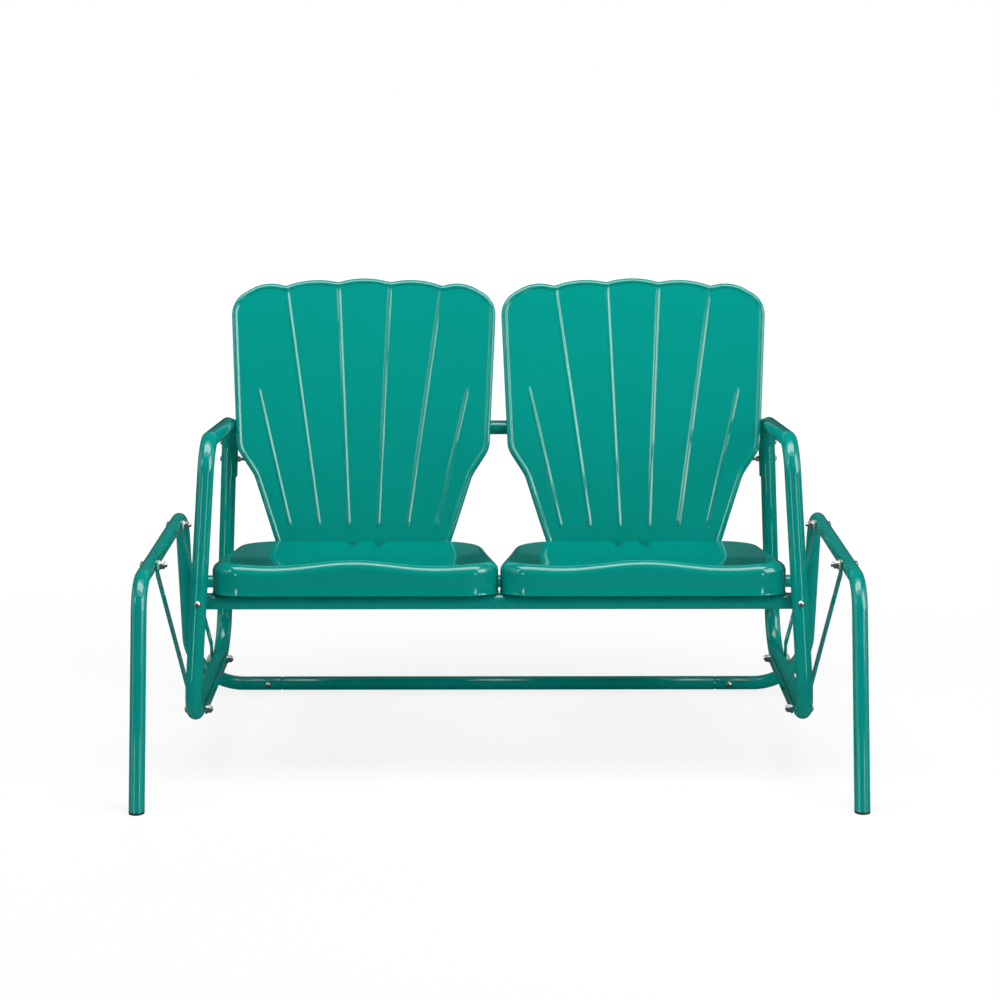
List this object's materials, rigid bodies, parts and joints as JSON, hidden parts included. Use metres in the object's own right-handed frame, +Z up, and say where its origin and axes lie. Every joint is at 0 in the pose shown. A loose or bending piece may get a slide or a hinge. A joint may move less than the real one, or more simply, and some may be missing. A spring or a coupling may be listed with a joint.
{
  "type": "glider bench",
  "caption": "Glider bench: pressed sheet pans and scalloped backs on a bent tube frame that swings on flat hangers from a tube base.",
  "frame": {"origin": "on the ground under the middle of the overall plan at rest", "axes": "+X to the right as seen from the front, +Y to the back, +Z up"},
  "size_m": [1.309, 0.7911, 0.8549],
  "materials": {
    "frame_paint": "gloss teal powder paint",
    "shell_paint": "gloss teal powder paint",
    "plain_steel": "plain drawn steel",
    "zinc": "bright zinc plating",
    "nylon": "natural nylon",
    "black_plastic": "moulded black plastic"
  },
  "bodies": {
    "base": {"base_side_left": "frame_paint", "base_side_right": "frame_paint", "base_stretcher": "frame_paint", "stretcher_bolts": "zinc", "stretcher_nuts": "zinc", "foot_glide_left": "black_plastic", "foot_glide_right": "black_plastic", "pivot_bolts_top": "zinc", "pivot_spacers_top": "nylon", "pivot_washers_top": "zinc", "pivot_nuts_top": "zinc"},
    "front_hangers": {"hanger_front_left": "frame_paint", "hanger_front_right": "frame_paint", "hanger_bushes_front": "nylon"},
    "rear_hangers": {"hanger_rear_left": "frame_paint", "hanger_rear_right": "frame_paint", "hanger_bushes_rear": "nylon"},
    "seat": {"back_crossbar_left": "frame_paint", "back_crossbar_right": "frame_paint", "back_crossbar_sleeve": "plain_steel", "back_nuts": "zinc", "back_pads": "black_plastic", "back_studs": "zinc", "crossbar_bolts": "zinc", "crossbar_nuts": "zinc", "crossbar_plugs": "black_plastic", "foot_bolts": "zinc", "foot_nuts": "zinc", "front_crossbar": "frame_paint", "pan_bolts": "zinc", "pan_brackets_front": "frame_paint", "pan_brackets_rear": "frame_paint", "pan_nuts": "zinc", "pivot_bolts_low": "zinc", "pivot_nuts_low": "zinc", "pivot_spacers_low": "nylon", "pivot_washers_low": "zinc", "rear_crossbar": "frame_paint", "saddle_bolts": "zinc", "saddle_left": "frame_paint", "saddle_nuts": "zinc", "saddle_right": "frame_paint", "seat_back_left": "shell_paint", "seat_back_right": "shell_paint", "seat_pan_left": "shell_paint", "seat_pan_right": "shell_paint", "side_loop_left": "frame_paint", "side_loop_right": "frame_paint", "tie_bar_left": "frame_paint", "tie_bar_right": "frame_paint"}
  },
  "joints": [
    {"name": "glide", "type": "hinge", "parent": "base", "child": "front_hangers", "pos_m": [0, -0.139, 0.388], "axis": [1, 0, 0], "range_deg": [-20, 20]},
    {"name": "rear_swing", "type": "hinge", "parent": "base", "child": "rear_hangers", "pos_m": [0, 0.199, 0.388], "axis": [1, 0, 0], "range_deg": [-20, 20]},
    {"name": "seat_level", "type": "hinge", "parent": "front_hangers", "child": "seat", "pos_m": [0, -0.139, 0.115], "axis": [1, 0, 0], "range_deg": [-20, 20]}
  ],
  "couplings": [
    {"joint": "rear_swing", "follows": "glide", "ratio": 1},
    {"joint": "seat_level", "follows": "glide", "ratio": -1}
  ]
}
